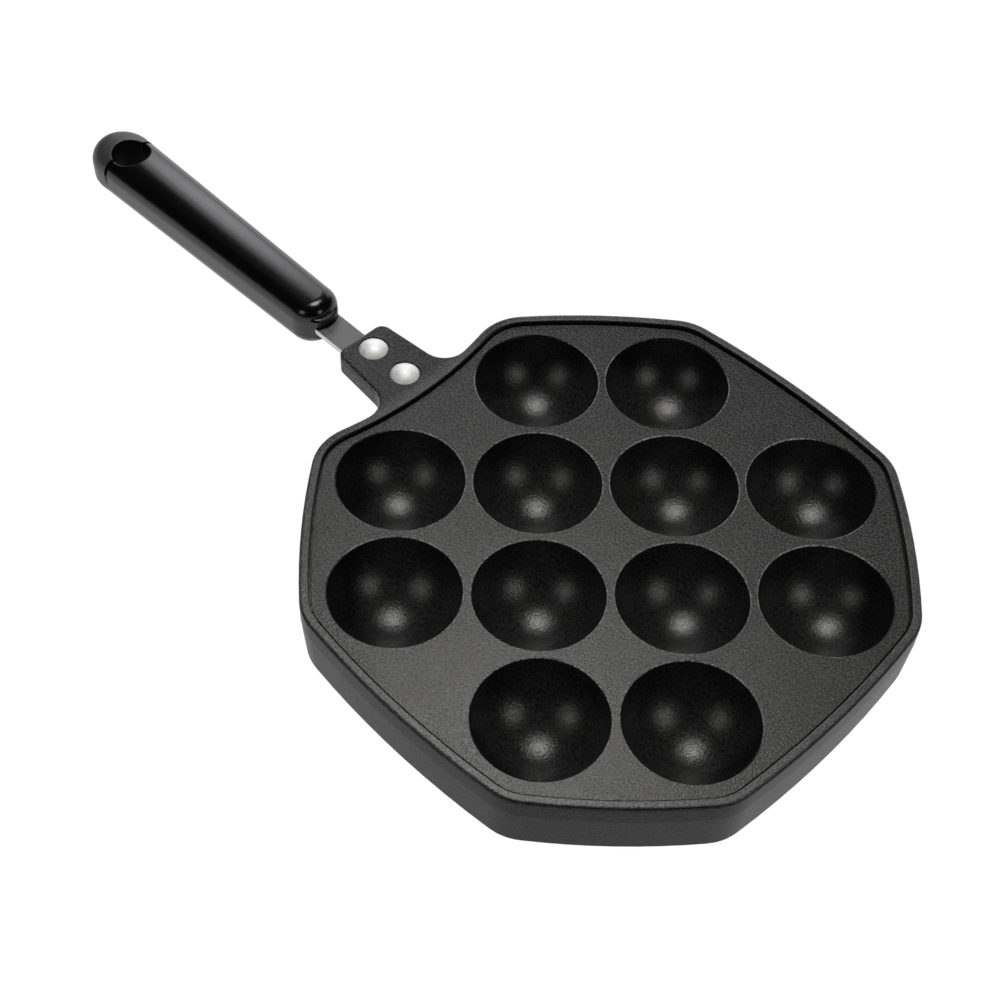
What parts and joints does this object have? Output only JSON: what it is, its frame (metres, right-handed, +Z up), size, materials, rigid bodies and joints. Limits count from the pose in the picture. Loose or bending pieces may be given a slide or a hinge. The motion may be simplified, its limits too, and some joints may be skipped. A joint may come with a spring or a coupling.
{
  "type": "takoyaki pan",
  "caption": "Stovetop takoyaki pan: cast plate of round cups with bowed sides, a lip and an open skirt, a riveted tang and a straight grip with a hanging eye.",
  "frame": {"origin": "centre of the cup pattern on the plane that the pan stands on", "axes": "+Z up, handle along -X, across a corner of the square cup pattern"},
  "size_m": [0.3387, 0.1774, 0.0255],
  "materials": {
    "coated_casting": "matte",
    "rivet_metal": "polished",
    "tang_steel": "satin",
    "fastener_steel": "satin",
    "grip_plastic": "gloss",
    "cap_plastic": "matte"
  },
  "bodies": {
    "root": {"pan_body": "coated_casting", "rivet_inner": "rivet_metal", "rivet_outer": "rivet_metal", "handle_tang": "tang_steel", "handle_rod": "fastener_steel", "rod_washer": "fastener_steel", "rod_nut": "fastener_steel", "handle_grip": "grip_plastic", "hanging_end_cap": "cap_plastic"}
  },
  "joints": []
}
